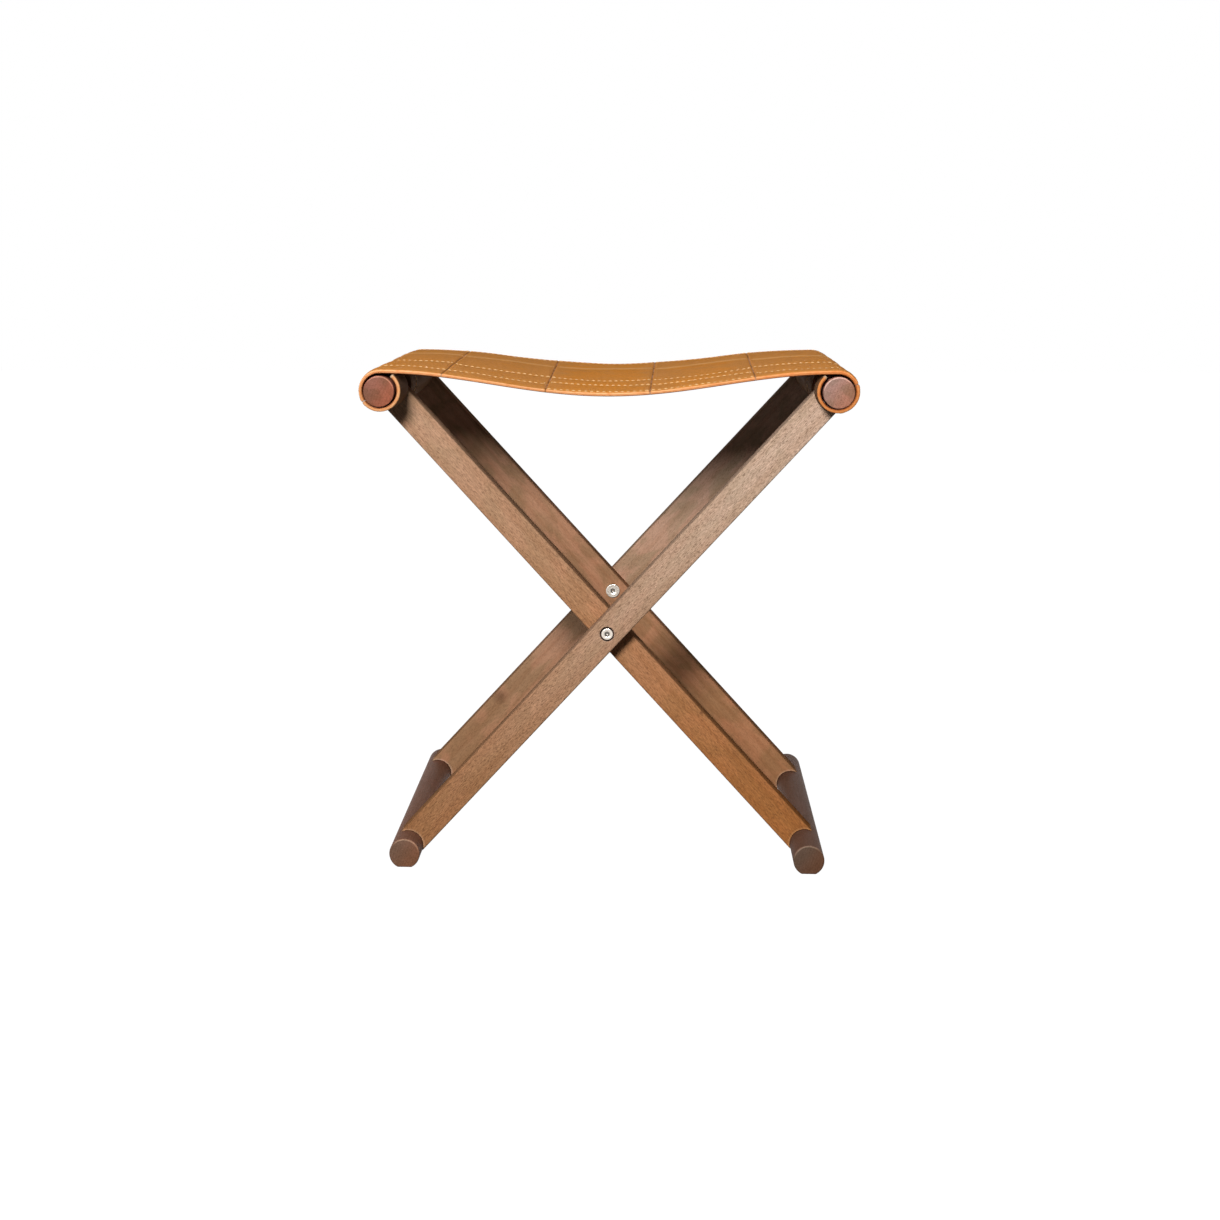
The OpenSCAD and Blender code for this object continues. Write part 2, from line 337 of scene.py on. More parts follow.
def woodFinish(name, along, heart, tones, ringWidth=woodLook["ringWidth"], gloss=woodLook["legGloss"],
               ends=None):
    skin = Finish(name, gloss=gloss)
    place = skin.place()
    along = tuple(along)
    lengthwise = skin.vector("DOT_PRODUCT", place, along, "Value")

    def drawnOut(stretch):
        taken = skin.scaled(along, lengthwise * (1 - 1 / stretch))
        return skin.vector("SUBTRACT", place, taken)

    def patches(stretch, scale, detail, low, high, distortion=0.0):
        return skin.between(skin.noise(drawnOut(stretch), scale, detail, distortion), low, high)

    def shifted(strength, *shares):
        return tuple(1 + strength * share for share in shares) + (1,)

    fromHeart = skin.vector("SUBTRACT", drawnOut(1e6), tuple(heart))
    radius = skin.vector("LENGTH", fromHeart, (0, 0, 0), "Value")
    wander = skin.noise(drawnOut(9), 24, 3, 0.4) * 0.007
    rings = skin.maths("SINE", (radius + wander) * (2 * pi / ringWidth)) * 0.5 + 0.5
    lateWood = rings ** 2.5
    streaks = patches(14, 420, 3, 0.32, 0.7)
    fibres = patches(8, 1700, 3, 0.3, 0.7)
    pores = patches(5, 1900, 1, 0.56, 0.72)
    flecks = patches(5, 1500, 1, 0.56, 0.72)
    blotches = patches(1.8, 52, 2, 0.38, 0.62, 0.8)
    clouds = skin.noise(drawnOut(3), 22, 3, 0.5)
    height = skin.part(place, "Z") / stoolHeight

    # low tone at the floor, high at the top: partly the wood's own change, partly painted falloff of light
    body = skin.mix(skin.between(height + clouds * 0.25 - 0.125, 0.02, 0.98), tones["low"], tones["high"])
    strong, patchy = tones["grain"], tones["blotch"]
    grain = skin.mix(fibres, shifted(strong, -0.13, -0.14, -0.16), shifted(strong, 0.14, 0.13, 0.12))
    patched = skin.mix(blotches, shifted(patchy, -0.11, -0.09, -0.12), shifted(patchy, 0.05, 0.02, 0.03))
    body = skin.layered(body, [
        (skin.between(clouds, 0.35, 0.72) * 0.5, (0.9, 0.82, 0.76, 1)),
        (streaks * 0.55, (0.88, 0.84, 0.8, 1)),
        (lateWood * 0.5, (0.86, 0.8, 0.75, 1)),
        (1.0, grain),
        (1.0, patched),
    ], "MULTIPLY")
    if "spot" in tones:
        away = skin.vector("DISTANCE", place, tones["spot"], "Value")
        ragged = away + (clouds - 0.5) * 0.3 * tones["spotRadius"]
        body = skin.mix(skin.between(ragged, tones["spotRadius"], 0.0) * 0.55, body, woodLook["pore"])
    body = skin.mix(flecks * 0.5 * strong, body, (1.22, 1.21, 1.2, 1), "MULTIPLY")
    body = skin.mix(pores * 0.36 * strong, body, woodLook["pore"])
    rim = skin.attribute("rim")
    # rims paler, partly from wear and partly as a painted highlight; the joints' inner edges dark
    wearAndHighlight = [(skin.between(rim, 0.34, 0.5), woodLook["rim"]),
            (skin.between(rim, 0.6, 0.72), woodLook["groove"])]
    if ends:
        # a painted highlight on the upper rim of a rail's end, and a painted sheen across the end, paler at
        # its upper left
        reach = skin.maths("ABSOLUTE", skin.part(place, "Y"))
        reach = (reach - (ends["reach"] - ends["bevel"])) / ends["bevel"]
        onRim = skin.between(reach, -0.1, 0.15) * skin.between(reach, 1.0, 0.94)
        fromAxis = skin.vector("SUBTRACT", place, ends["centre"])

        def towards(direction):
            return skin.vector("DOT_PRODUCT", fromAxis, direction, "Value") / ends["radius"]

        aside = skin.between(towards((0.8, 0, -0.6)), -0.9, 0.8)
        paintedSheen = skin.mix(aside, woodLook["endSheenCool"], woodLook["endSheenWarm"])
        rimHighlight = onRim * skin.between(towards(ends["highlightFacing"]), 0.2, 0.8)
        wearAndHighlight = [(skin.between(reach, 0.3, 1.0), paintedSheen), (rimHighlight, woodLook["railRimHighlight"])] + wearAndHighlight
    body = skin.layered(body, wearAndHighlight, "MULTIPLY")
    skin.set("Base Color", body)
    skin.set("Roughness", woodLook["roughness"] + pores * 0.2 - lateWood * 0.06)
    skin.set("Normal", skin.bump(streaks, 0.0001, skin.bump(fibres * 0.3 - pores, 0.00014)))
    return skin.material


def legWood(name, side, tones):
    # the heart of the tree runs along the leg, below and behind it
    foot, top, along = frameLine(side)
    middle = (top + foot) / 2
    middle -= middle.dot(along) * along
    heart = middle + along.cross(Vector((0, 1, 0))) * 0.034 + Vector((0, 0.021, 0))
    return woodFinish(name + "_grain", along, heart, tones)


# Steel and brass: fine turning marks round the axis along Y
def metalFinish(name, colour, roughness, centre):
    skin = Finish(name, metallic=1.0, gloss=0.5)
    place = skin.place()
    flat = skin.vector("MULTIPLY", skin.vector("SUBTRACT", place, centre), (1, 0, 1))
    radius = skin.vector("LENGTH", flat, (0, 0, 0), "Value")
    marks = skin.maths("SINE", radius * 52000)
    smudges = skin.noise(place, 700, 3)
    body = skin.mix(smudges * 0.35, colour, tuple(c * 0.7 for c in colour[:3]) + (1,))
    # painted shade, near black, in the socket and under the head
    skin.set("Base Color", skin.mix(skin.attribute("hollowShade"), body, (0.035, 0.032, 0.03, 1)))
    skin.set("Roughness", smudges * 0.18 + (roughness - 0.09))
    skin.set("Normal", skin.bump(marks, 0.000006))
    return skin.material


def addMesh(name, points, faces, material, attributes=None, flat=False):
    mesh = bpy.data.meshes.new(name)
    mesh.from_pydata([tuple(p) for p in points], [], faces)
    for key, values in (attributes or {}).items():
        mesh.attributes.new(key, "FLOAT", "POINT").data.foreach_set("value", values)
    shell = bmesh.new()
    shell.from_mesh(mesh)
    bmesh.ops.recalc_face_normals(shell, faces=shell.faces)
    shell.to_mesh(mesh)
    shell.free()
    if not flat:
        mesh.shade_smooth()
    mesh.materials.append(material)
    return addObject(name, mesh)


def settle(made):
    # puts the evaluated mesh in an object and takes its modifiers off
    graph = bpy.context.evaluated_depsgraph_get()
    result = bpy.data.meshes.new_from_object(made.evaluated_get(graph))
    made.modifiers.clear()
    made.data = result
    return made


def carry(made, body, slot, *nodes):
    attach(made, body)
    if nodes:
        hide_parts(*nodes)


def cutOut(made, tool):
    cut = made.modifiers.new("cut", "BOOLEAN")
    cut.object = tool
    cut.solver = "EXACT"
    settle(made)
    bpy.data.objects.remove(tool)


def joinRows(rows):
    # faces between closed rows of points; a row of one point closes an end
    faces = []
    for first, second in zip(rows, rows[1:]):
        sides = max(len(first), len(second))
        for i in range(sides):
            around = [(first, i), (first, i + 1), (second, i + 1), (second, i)]
            faces.append(list(dict.fromkeys(row[k % len(row)] for row, k in around)))
    return faces


def loftRings(name, rings, centre, inward, sides, material, mark):
    # rings about Y: a radius or a rule for it, a depth inward from centre, the mark's value
    points, rows, values = [], [], []
    for radius, depth, value in rings:
        count = 1 if radius == 0 else sides
        rows.append(range(len(points), len(points) + count))
        for i in range(count):
            turn = 2 * pi * i / sides
            reach = radius(turn) if callable(radius) else radius
            points.append(centre + Vector((reach * cos(turn), inward * depth, reach * sin(turn))))
            values.append(value)
    return addMesh(name, points, joinRows(rows), material, {mark: values})


# Legs: lofted from rail to rail, with a rounded rim round each cope
legs = {
    "width": 0.0265,
    "edge": 0.0015,  # rounding along the leg
    "edgeSteps": 4,
    "rim": 0.0013,  # rounding round the copes
    "rimSteps": 6, "faceSteps": 14, "middleRings": 7,
    "middleFrom": 1.4,  # where the plain middle starts, in rail radii from the rail's axis
    "boreRadius": 0.0065,  # the counterbore, where the bolt's head sits
    "boreDepth": 0.004, "boreChamfer": 0.0007, "boreSides": 64,
}


def mirrored(row, across, deep):
    return [(Vector((p.x * across, p.y * deep)), Vector((out.x * across, out.y * deep)))
            for p, out in reversed(row)]


def legSection(thickness):
    # a closed row of points with their outward directions
    half, deep, edge = legs["width"] / 2, thickness / 2, legs["edge"]
    corner = []
    for turn in quarterTurn(legs["edgeSteps"]):
        out = Vector((-cos(turn), -sin(turn)))
        corner.append((Vector((edge - half, edge - deep)) + out * edge, out))
    waves = [sin(pi * (i / legs["faceSteps"] - 0.5)) for i in range(1, legs["faceSteps"])]
    face = [(Vector(((half - edge) * wave, -deep)), Vector((0, -1))) for wave in waves]
    front = corner + face + mirrored(corner, -1, 1)
    return front + mirrored(front, 1, -1)


def counterbore(centre, inward, material):
    # the tool for the bolt's seat: a cylinder with a chamfer
    radius, depth, chamfer = legs["boreRadius"], legs["boreDepth"], legs["boreChamfer"]
    outside = 0.002
    rings = [(0, -outside, 0.5), (radius + chamfer + outside, -outside, 0.5), (radius, chamfer, 0.6)]
    rings += [(radius, depth, 1.0), (0, depth, 1.0)]
    return loftRings("counterboreTool", rings, centre, inward, legs["boreSides"], material, "rim")


def makeLeg(side, end):
    node = f"{side}_leg_{end}"
    material = legWood(node, side, woods[node])
    foot, top, along = frameLine(side)
    across = Vector((along.z, 0, -along.x))
    low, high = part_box(node)
    middle = Vector((0, (low.y + high.y) / 2, 0))
    length, radius = (top - foot).length, rails[side + "_top_rail"]["radius"]
    section = legSection(high.y - low.y)
    points, wearAndHighlight = [], []

    def addRing(inset, place, share):
        for point, out in section:
            spot = point - out * inset
            points.append(foot + middle + along * place(spot.x) + across * spot.x + Vector((0, spot.y, 0)))
            wearAndHighlight.append(share)

    def addRim(turns, place):
        # place gives the way from the foot rail for one from the near rail
        for turn in turns:
            inset, rise = legs["rim"] * (1 - sin(turn)), legs["rim"] * (1 - cos(turn))
            addRing(inset, lambda x: place(sqrt(radius ** 2 - x ** 2) + rise), 1.0 - turn / pi)

    turns = quarterTurn(legs["rimSteps"])
    addRim(turns, lambda way: way)
    start = radius * legs["middleFrom"]
    for k in range(legs["middleRings"]):
        spot = start + (length - 2 * start) * k / (legs["middleRings"] - 1)
        addRing(0, lambda x: spot, 0.0)
    addRim(reversed(turns), lambda way: length - way)
    count, last = len(section), len(points) - len(section)
    faces = joinRows([range(k, k + count) for k in range(0, len(points), count)])
    for base in (0, last):
        for i in range(count // 2 - 1):
            faces.append((base + i, base + i + 1, base + count - 2 - i, base + count - 1 - i))
    made = addMesh(node + "_wood", points, faces, material, {"rim": wearAndHighlight})
    if side == "outer":
        face, inward = (low.y, 1) if end == "front" else (high.y, -1)
        cutOut(made, counterbore(Vector((pivotPoint.x, face, pivotPoint.z)), inward, material))
    made.data.set_sharp_from_angle(angle=radians(38))
    carry(made, side + "_frame", "leg_wood", node)


for side in frames:
    makeLeg(side, "front")
    makeLeg(side, "rear")
print("four legs are lofted and coped")


# Rails: round bars along Y, planed flat underneath where they stand on the floor
railShape = {"sides": 96, "bevel": 0.0013, "bevelSteps": 3}


def groupWithInputs(name, inputs):
    group = bpy.data.node_groups.new(name, "GeometryNodeTree")
    for label, kind in {"Geometry": "Geometry", **inputs}.items():
        group.interface.new_socket(name=label, in_out="INPUT", socket_type="NodeSocket" + kind)
    group.interface.new_socket(name="Geometry", in_out="OUTPUT", socket_type="NodeSocketGeometry")
    tree = NodeTree(group)
    entry = group.nodes.new("NodeGroupInput")
    wires = {socket.name: Wire(tree, socket) for socket in entry.outputs if socket.name}
    return group, tree, wires


def closeGroup(tree, geometry, material):
    # realizes what the group makes and paints it
    real = tree.node("GeometryNodeRealizeInstances", None, {"Geometry": geometry})
    painted = tree.node("GeometryNodeSetMaterial", None, {"Geometry": real, "Material": material})
    tree.put(tree.tree.nodes.new("NodeGroupOutput").inputs[0], painted)


def grow(made, group, values):
    # a geometry group as a modifier, its inputs set by identifier
    modifier = made.modifiers.new(group.name, "NODES")
    modifier.node_group = group
    for item in group.interface.items_tree:
        if item.in_out == "INPUT" and item.name in values:
            modifier[item.identifier] = values[item.name]


def railGroup():
    group, tree, wires = groupWithInputs("roundRail", {
        "Length": "Float", "Radius": "Float", "Flat Depth": "Float", "Sides": "Int", "Wood": "Material"})
    sizes = {"Vertices": wires["Sides"], "Radius": wires["Radius"], "Depth": wires["Length"]}
    bar = tree.node("GeometryNodeMeshCylinder", {"fill_type": "NGON"}, sizes)
    laid = tree.node("GeometryNodeTransform", None, {"Geometry": bar, "Rotation": (pi / 2, 0, 0)})
    position = tree.node("GeometryNodeInputPosition")
    height = tree.maths("MAXIMUM", tree.part(position, "Z"), wires["Flat Depth"] - wires["Radius"])
    planed = tree.point(tree.part(position, "X"), tree.part(position, "Y"), height)
    shaped = tree.node("GeometryNodeSetPosition", None, {"Geometry": laid, "Position": planed})
    closeGroup(tree, shaped, wires["Wood"])
    return group


def makeRail(side, place, group):
    node = f"{side}_{place}_rail"
    rail = rails[node]
    ends = {"reach": rail["high"].y, "bevel": railShape["bevel"], "radius": rail["radius"],
            "centre": tuple(rail["point"]), "highlightFacing": (-copysign(0.25, rail["point"].x), 0, 0.97)}
    heart = rail["point"] + Vector((0.14, 0, -0.05))
    wood = woodFinish(node + "_grain", (0, 1, 0), heart, woods[node], woodLook["railRings"],
                      woodLook["railGloss"], ends)
    made = addMesh(node + "_bar", [], [], wood)
    grow(made, group, {
        "Length": rail["high"].y - rail["low"].y,
        "Radius": rail["radius"],
        "Flat Depth": rail["radius"] * 2 - (rail["high"].z - rail["low"].z),
        "Sides": railShape["sides"],
        "Wood": wood,
    })
    bevel = made.modifiers.new("ends", "BEVEL")
    bevel.width = railShape["bevel"]
    bevel.segments = railShape["bevelSteps"]
    bevel.angle_limit = radians(60)
    settle(made)
    made.data.transform(Matrix.Translation(rail["point"]))
    made.data.shade_smooth()
    made.data.set_sharp_from_angle(angle=radians(20))
    carry(made, side + "_frame", "rail_wood", node)


roundRail = railGroup()
for side in frames:
    makeRail(side, "top", roundRail)
    makeRail(side, "foot", roundRail)
print("four rails are turned")

# Pivots: a bolt head outside and the cap of its sleeve nut inside
pivots = {
    "sides": 48, "socketWidth": 0.004, "socketDepth": 0.0024, "edge": 0.0008, "edgeSteps": 3,
    "dish": 0.0004,
    "bolt": {"headHeight": 0.0036, "shankRadius": 0.003, "inward": 1},  # inward as it is at the front
    "nut": {"headHeight": 0.0026, "shankRadius": 0.0045, "inward": -1},
}


def hexagon(widening):
    # the socket's radius at a turn
    sector = pi / 3
    half = pivots["socketWidth"] / 2
    return lambda turn: half / cos((turn + sector / 2) % sector - sector / 2) + widening


def makePivot(kind, end, material):
    # a turned head with a hexagon socket, and its shank
    node, shape = f"pivot_{kind}_{end}", pivots[kind]
    low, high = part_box(node)
    inward = shape["inward"] if end == "front" else -shape["inward"]
    height, shank = shape["headHeight"], shape["shankRadius"]
    radius, tip = (high.x - low.x) / 2, high.y - low.y
    edge, floor, dish = pivots["edge"], pivots["socketDepth"], pivots["dish"]
    # each ring: radius, depth, how much painted shade it gets
    rings = [(0, floor + 0.0006, 0.7), (0.0009, floor + 0.0001, 0.7), (hexagon(0), floor, 1.0)]
    rings += [(hexagon(0), dish + 0.0003, 0.95), (hexagon(0.00035), dish, 0.15), (radius * 0.6, 0.0001, 0.0)]
    for k, bend in enumerate(quarterTurn(pivots["edgeSteps"])):
        rings.append((radius - edge * (1 - sin(bend)), edge * (1 - cos(bend)), 0.1 * k))
    rings += [(radius, height, 0.8), (shank, height, 0.8), (shank, tip, 0.4), (0, tip, 0.4)]
    centre = Vector((pivotPoint.x, low.y if inward > 0 else high.y, pivotPoint.z))
    made = loftRings(f"{kind}_{end}", rings, centre, inward, pivots["sides"], material, "hollowShade")
    made.data.set_sharp_from_angle(angle=radians(35))
    carry(made, "outer_frame", "pivot_steel", node)


def repaint(node, material):
    slots = frame["nodes"][node].data.materials
    slots.clear()
    slots.append(material)


steel = metalFinish("pivotSteel", rgb(226, 216, 204), 0.26, tuple(pivotPoint))
for end in ("front", "rear"):
    makePivot("bolt", end, steel)
    makePivot("nut", end, steel)
    repaint("pivot_washer_" + end, steel)
for side in frames:
    repaint(side + "_pegs", legWood(side + "_pegs", side, woods["outer_leg_rear"]))
print("pivots, washers and pegs are dressed")

# Leather: sewn strips, from one loop over the seat to the other
seat = {
    "thickness": 0.0032, "width": 0.353, "frontSag": 0.02, "rearSag": 0.015,
    "slack": 0.0015,  # room between loop and rail
    "pulledIn": 0.53,  # shares of the slack that move a loop's centre
    "heldUp": 0.6, "stripLength": 0.0925, "firstSeam": 0.0555, "tailGap": 0.0008, "tabGap": 0.0015,
    "slotStart": radians(238),
    "fan": 0.0065,  # how far the seams spread towards the back
    "shift": 0.005,  # the rows change place this close to a seam
    "edgeRound": 0.0012,
    "buttRound": 0.0002,  # where a tail meets the sling
    "buttGap": 0.0001, "edgeGroove": 0.00025, "grooveWidth": 0.0003, "wave": 0.0007,
    "stationStep": 0.0026, "columnStep": 0.0055,
    "seamSteps": (0, 0.0004, 0.0008, 0.0013, 0.0019, 0.0028, 0.004),  # stations on and beside a seam
    "sewnLine": 1.7,  # how strongly the groove along the sling's edge shows
}
# Places of the stitched rows across the leather, in each piece from left to right
rows = {
    "frontHem": [-0.1680, -0.1680, -0.1685, -0.1690, -0.1675, -0.1680, -0.1680],
    "near": [-0.0959, -0.1180, -0.1240, -0.0985, -0.1060, -0.1320, -0.1215],
    "middle": [-0.0450, -0.0240, -0.0420, -0.0460, -0.0600, -0.0500, -0.0450],
    "ridge": [0.0600, 0.0870, 0.0850, 0.0910, 0.0770, 0.0560, 0.0600],
    "rearHem": [0.1680, 0.1685, 0.1675, 0.1680, 0.1690, 0.1680, 0.1680],
}
sewn = {"frontHem": (3, 4), "middle": range(7), "ridge": range(7)}
sewn["near"] = sewn["rearHem"] = range(1, 6)
pieceTones = [0.5, 0.38, 0.3, 0.66, 0.48, 0.34, 0.52]

topRail = rails["outer_top_rail"]
loopRadius = topRail["radius"] + seat["slack"]
loopX = topRail["point"].x - seat["pulledIn"] * seat["slack"]
loopZ = topRail["point"].z + seat["heldUp"] * seat["slack"]
middleRadius = loopRadius + seat["thickness"] / 2
tailAngle = 2 * pi + asin((loopRadius - seat["tailGap"]) / (loopRadius + seat["thickness"]))
loopLength = (tailAngle - pi / 2) * middleRadius
leftTop = loopLength
rightTop = leftTop + 2 * loopX
leatherEnd = rightTop + loopLength
seams = [leftTop + seat["firstSeam"] + k * seat["stripLength"] for k in range(-1, 5)]
slotEnds = [leftTop - (seat["slotStart"] - pi / 2) * middleRadius]
slotEnds.append(leatherEnd - slotEnds[0])
halfWidth = seat["width"] / 2


def loopPoint(side, turn, y, reach):
    # a point round a top rail, with its outward normal
    normal = Vector((-side * cos(turn), 0, sin(turn)))
    return Vector((side * loopX, y, loopZ)) + normal * reach, normal


def leatherPoint(s, y):
    # the leather's middle at s along it and y across it, with its outward normal
    if s < leftTop or s > rightTop:
        turn = pi / 2 + max(leftTop - s, s - rightTop) / middleRadius
        return loopPoint(-1 if s < leftTop else 1, turn, y, middleRadius)
    share = (y + halfWidth) / seat["width"]
    x = s - leftTop - loopX
    x += seat["fan"] * sin(pi * x / loopX) * share
    sag = seat["frontSag"] + (seat["rearSag"] - seat["frontSag"]) * share
    z = loopZ + middleRadius - sag * (1 + cos(pi * x / loopX)) / 2
    slope = sag * pi / (2 * loopX) * sin(pi * x / loopX)
    return Vector((x, y, z)), Vector((-slope, 0, 1)).normalized()


def zoneAt(s):
    return sum(s > seam for seam in seams)


def toSeam(s):
    return min(abs(s - seam) for seam in seams)


def alongPieces(values, s):
    # the value of the piece at s, mixed with its neighbour's close to their seam
    zone = zoneAt(s)
    other = zone - 1 if s > min(seams, key=lambda seam: abs(s - seam)) else zone + 1
    return values[zone] + (values[other] - values[zone]) * 0.5 * smooth(1 - toSeam(s) / seat["shift"])


slotLegs = {"left": "inner_leg_", "right": "outer_leg_"}
spareBorders = {("front", False): -0.151, ("rear", True): 0.112, ("rear", False): 0.142}


def slotBorder(end, inner):
    # where a slot's border lies in each piece: true in the tails, between the rows elsewhere
    place = {}
    for side, node in slotLegs.items():
        low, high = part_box(node + end)
        place[side] = low.y - seat["tabGap"] if (end == "front") != inner else high.y + seat["tabGap"]
    between = rows["near"][1:6] if (end, inner) == ("front", True) else [spareBorders[end, inner]] * 5
    return [place["left"], *between, place["right"]]


rows["near"] = slotBorder("front", True)
controls = [
    ([-halfWidth] * 7, False),
    (rows["frontHem"], True),
    (slotBorder("front", False), False),
    (rows["near"], True),
    (rows["middle"], True),
    (rows["ridge"], True),
    (slotBorder("rear", True), False),
    (slotBorder("rear", False), False),
    (rows["rearHem"], True),
    ([halfWidth] * 7, False),
]
rowOffsets = [-0.003, -0.0016, -0.0007, 0.0, 0.0007, 0.0016, 0.003]


fixedColumns = [(index, offset) for index, (_, isRow) in enumerate(controls)
                for offset in (rowOffsets if isRow else [0.0])]


def fixedPlaces(rule):
    return [rule(controls[index][0]) + offset for index, offset in fixedColumns]


# How many even steps follow each fixed column, from the middle piece
middles = fixedPlaces(lambda values: values[3])
stepCounts = [max(1, round((b - a) / seat["columnStep"])) for a, b in zip(middles, middles[1:])]


def columnOf(control):
    return sum(stepCounts[:fixedColumns.index((control, 0.0))])


def columnsAt(s):
    fixed = fixedPlaces(lambda values: alongPieces(values, s))
    spans = zip(fixed, fixed[1:], stepCounts)
    return [a + (b - a) * k / steps for a, b, steps in spans for k in range(steps)] + [halfWidth]


def stationsBetween(start, end):
    marks = sorted({start, end} | {s for s in slotEnds + [leftTop, rightTop] if start < s < end})
    places = set(marks)
    for first, second in zip(marks, marks[1:]):
        steps = max(1, ceil((second - first) / seat["stationStep"]))
        places |= {first + (second - first) * k / steps for k in range(steps)}
    near = seat["seamSteps"]
    for seam in seams:
        places = {p for p in places if abs(p - seam) > near[-1] or p in marks}
        places |= {seam + sign * d for d in near for sign in (-1, 1) if start < seam + sign * d < end}
    return sorted(places)


def crown(y, edges):
    for first, second in zip(edges, edges[1:]):
        if first <= y <= second:
            fullness = min(1, (second - first) / relief["crownSpan"])
            return (1 - abs(2 * (y - first) / (second - first) - 1) ** 2.4) * fullness
    return 0.0


relief = {
    "row": 0.0004, "rowWidth": 0.001, "ridge": 0.0014, "ridgeWidth": 0.0019,
    "ridgeAhead": 0.0024,  # the ridge stands this far in front of its stitches
    "seam": 0.0005, "seamWidth": 0.0006,
    "swell": 0.0002,  # beside a seam
    "swellPlace": 0.0024, "swellWidth": 0.0014,
    "fade": 0.004,  # how far from a seam rows and ridge end
    "crown": 0.0009,
    "crownSpan": 0.03,  # closer rows have a lower crown between them
    "crestAhead": 0.003,  # a painted highlight along the ridge's crest
    "crestWidth": 0.0024, "crestFade": 0.005,
}


def reliefAt(s, y):
    # how far the outer face stands off at seams, rows, the ridge and the crown between
    zone, away = zoneAt(s), toSeam(s)
    lines = {name: alongPieces(places, s) for name, places in rows.items() if zone in sewn[name]}
    height = relief["swell"] * bell(away - relief["swellPlace"], relief["swellWidth"])
    height -= relief["seam"] * bell(away, relief["seamWidth"])
    fade = smooth(away / relief["fade"])
    for line in lines.values():
        height -= relief["row"] * bell(y - line, relief["rowWidth"]) * fade
    if "ridge" in lines:
        toRidge = y - lines["ridge"] + relief["ridgeAhead"]
        height += relief["ridge"] * bell(toRidge, relief["ridgeWidth"]) * fade
    height += relief["crown"] * crown(y, [-halfWidth, *sorted(lines.values()), halfWidth]) * fade
    return height + seat["wave"] * noise.noise(Vector((s * 22, y * 16, 1.7)))


def crestHighlightAt(s, y):
    toCrest = y - alongPieces(rows["ridge"], s) + relief["crestAhead"]
    return bell(toCrest, relief["crestWidth"]) * smooth(toSeam(s) / relief["crestFade"])


# The rounded edge's points from the top down: side, turn (none in the groove), the marks edge (0 for the
# line's value), under and low (painted shade, strongest on the lower half), and how far outside the flat
# leather's edge they take their colour
edgeChain = [
    (1, 0, 0.45, 0.0, 0.0, -0.0015),
    (1, 30, 0.7, 0.0, 0.32, -0.001),
    (1, 60, 1.0, 0.0, 0.18, -0.0005),
    (1, 90, 1.0, 0.0, 0.04, 0.0),
    (1, None, 1.0, 0.0, 0.0, 0.0006),
    (0, None, 0, 0.0, 0.0, 0.001),
    (-1, None, 1.0, 0.0, 0.0, 0.0014),
    (-1, 90, 1.0, 0.0, 0.4, 0.0019),
    (-1, 60, 1.0, 0.0, 0.75, 0.0024),
    (-1, 30, 0.7, 0.0, 1.1, 0.0029),
    (-1, 0, 0.55, 1.0, 1.0, 0.0034),
]


